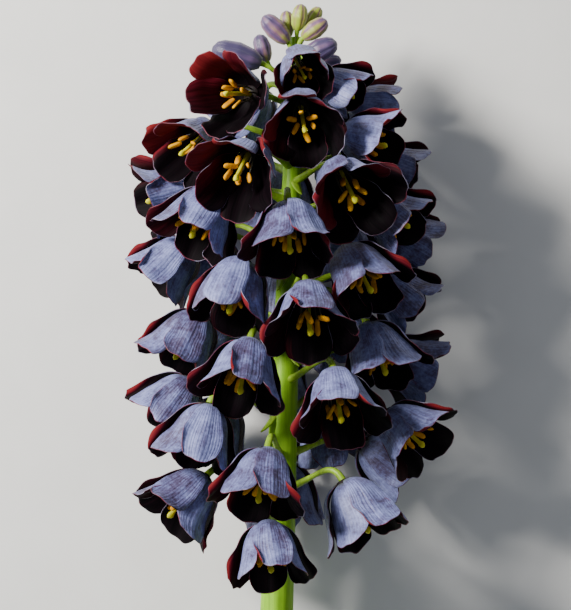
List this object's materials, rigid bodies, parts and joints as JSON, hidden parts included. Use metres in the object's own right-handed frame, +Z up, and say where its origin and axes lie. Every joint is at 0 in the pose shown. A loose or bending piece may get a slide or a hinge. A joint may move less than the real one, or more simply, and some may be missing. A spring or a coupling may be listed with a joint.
{
  "type": "persian fritillary flower spike",
  "caption": "Cut flower spike lying on its side: dark nodding bells on arched stalks all round a green stem, with closed buds at its tip.",
  "frame": {"origin": "bottom centre of the bounding box, on the surface that the spike lies on", "axes": "+Y along the stem from its cut end to its tip, +Z up, +X across the stem"},
  "size_m": [0.1104, 0.238, 0.0931],
  "materials": {
    "stem": "waxy green plant stem",
    "bell": "waxy plum petal with a grey bloom",
    "bud": "waxy mauve and green bud"
  },
  "bodies": {
    "root": {"stem": "stem", "bell_01": "bell", "bell_02": "bell", "bell_03": "bell", "bell_04": "bell", "bell_05": "bell", "bell_06": "bell", "bell_07": "bell", "bell_08": "bell", "bell_09": "bell", "bell_10": "bell", "bell_11": "bell", "bell_12": "bell", "bell_13": "bell", "bell_14": "bell", "bell_15": "bell", "bell_16": "bell", "bell_17": "bell", "bell_18": "bell", "bell_19": "bell", "bell_20": "bell", "bell_21": "bell", "bell_22": "bell", "bell_23": "bell", "bell_24": "bell", "bell_25": "bell", "bell_26": "bell", "bell_27": "bell", "bell_28": "bell", "bell_29": "bell", "bell_30": "bell", "bell_31": "bell", "bell_32": "bell", "bell_33": "bell", "bell_34": "bell", "bell_35": "bell", "bell_36": "bell", "bell_37": "bell", "bell_38": "bell", "bell_39": "bell", "bell_40": "bell", "bell_41": "bell", "bell_42": "bell", "bell_43": "bell", "bell_44": "bell", "bell_45": "bell", "bell_46": "bell", "bud_01": "bud", "bud_02": "bud", "bud_03": "bud", "bud_04": "bud", "bud_05": "bud", "bud_06": "bud", "bud_07": "bud", "bud_08": "bud", "bud_09": "bud", "bud_10": "bud", "bud_11": "bud"}
  },
  "joints": []
}
